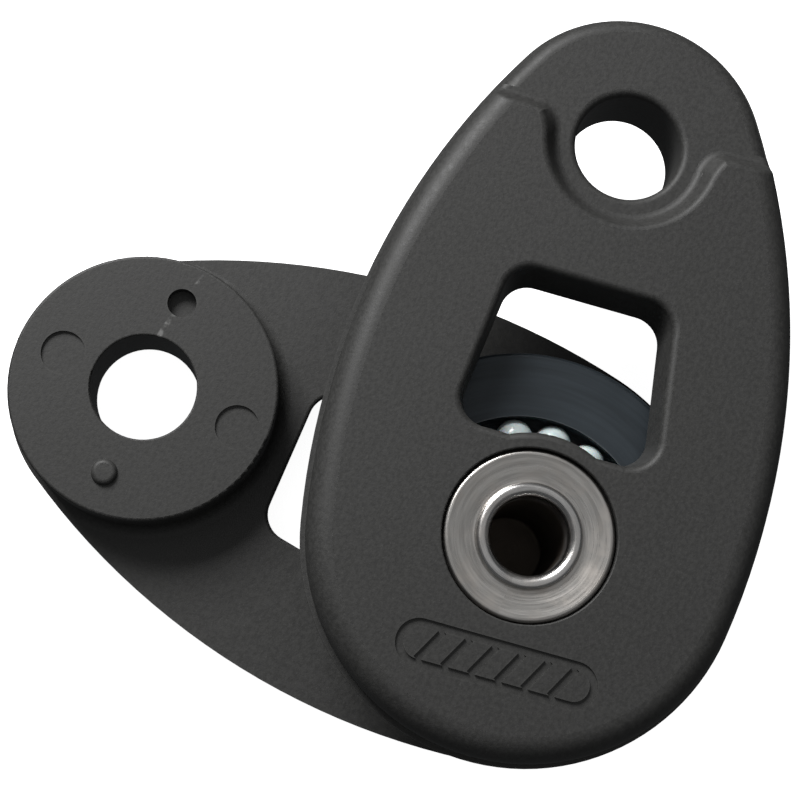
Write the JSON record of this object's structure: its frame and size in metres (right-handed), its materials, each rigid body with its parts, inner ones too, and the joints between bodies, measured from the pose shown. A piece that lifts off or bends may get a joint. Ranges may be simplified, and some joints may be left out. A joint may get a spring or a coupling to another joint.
{
  "type": "snatch block",
  "caption": "Opening pulley block: two egg-shaped plastic cheeks that swing apart about a hollow steel axle, with a grooved metal sheave on ball bearings between them.",
  "frame": {"origin": "centre of the sheave, on the axle, midway between the two cheeks when the block is closed", "axes": "+Z along the axle from the rear cheek to the front cheek, +Y from the axle towards the rear cheek's head hole, +X the side the front cheek's head points to when open; the block lies on its back"},
  "size_m": [0.1222, 0.1216, 0.0339],
  "materials": {
    "cheek": "spark-textured glass-filled nylon, charcoal black",
    "sheave": "hard-anodised, dark slate, turned",
    "race": "turned, plain",
    "steel": "turned and polished stainless steel",
    "ball": "natural white acetal"
  },
  "bodies": {
    "rear": {"rear_cheek": "cheek"},
    "hub": {"axle_rivet": "steel", "front_washer": "steel", "rear_washer": "steel", "inner_race_front": "race", "inner_race_rear": "race"},
    "front": {"front_cheek": "cheek"},
    "sheave": {"sheave": "sheave"},
    "front_balls": {"ball_front_01": "ball", "ball_front_02": "ball", "ball_front_03": "ball", "ball_front_04": "ball", "ball_front_05": "ball", "ball_front_06": "ball", "ball_front_07": "ball", "ball_front_08": "ball", "ball_front_09": "ball", "ball_front_10": "ball", "ball_front_11": "ball", "ball_front_12": "ball", "ball_front_13": "ball", "ball_front_14": "ball", "ball_front_15": "ball", "ball_front_16": "ball", "ball_front_17": "ball"},
    "rear_balls": {"ball_rear_01": "ball", "ball_rear_02": "ball", "ball_rear_03": "ball", "ball_rear_04": "ball", "ball_rear_05": "ball", "ball_rear_06": "ball", "ball_rear_07": "ball", "ball_rear_08": "ball", "ball_rear_09": "ball", "ball_rear_10": "ball", "ball_rear_11": "ball", "ball_rear_12": "ball", "ball_rear_13": "ball", "ball_rear_14": "ball", "ball_rear_15": "ball", "ball_rear_16": "ball", "ball_rear_17": "ball"}
  },
  "joints": [
    {"name": "swing", "type": "hinge", "parent": "rear", "child": "hub", "pos_m": [0, 0, 0], "axis": [0, 0, 1], "range_deg": [-97.5, 82.5]},
    {"name": "cheek_press", "type": "slide", "parent": "hub", "child": "front", "axis": [0, 0, -1], "range_m": [0, 0.001]},
    {"name": "sheave_spin", "type": "hinge", "parent": "hub", "child": "sheave", "pos_m": [0, 0, 0], "axis": [0, 0, 1], "continuous": true},
    {"name": "front_balls_orbit", "type": "hinge", "parent": "hub", "child": "front_balls", "pos_m": [0, 0, 0], "axis": [0, 0, 1], "continuous": true},
    {"name": "rear_balls_orbit", "type": "hinge", "parent": "hub", "child": "rear_balls", "pos_m": [0, 0, 0], "axis": [0, 0, 1], "continuous": true}
  ],
  "couplings": [
    {"joint": "front_balls_orbit", "follows": "sheave_spin", "ratio": 0.5898},
    {"joint": "rear_balls_orbit", "follows": "sheave_spin", "ratio": 0.5898}
  ]
}
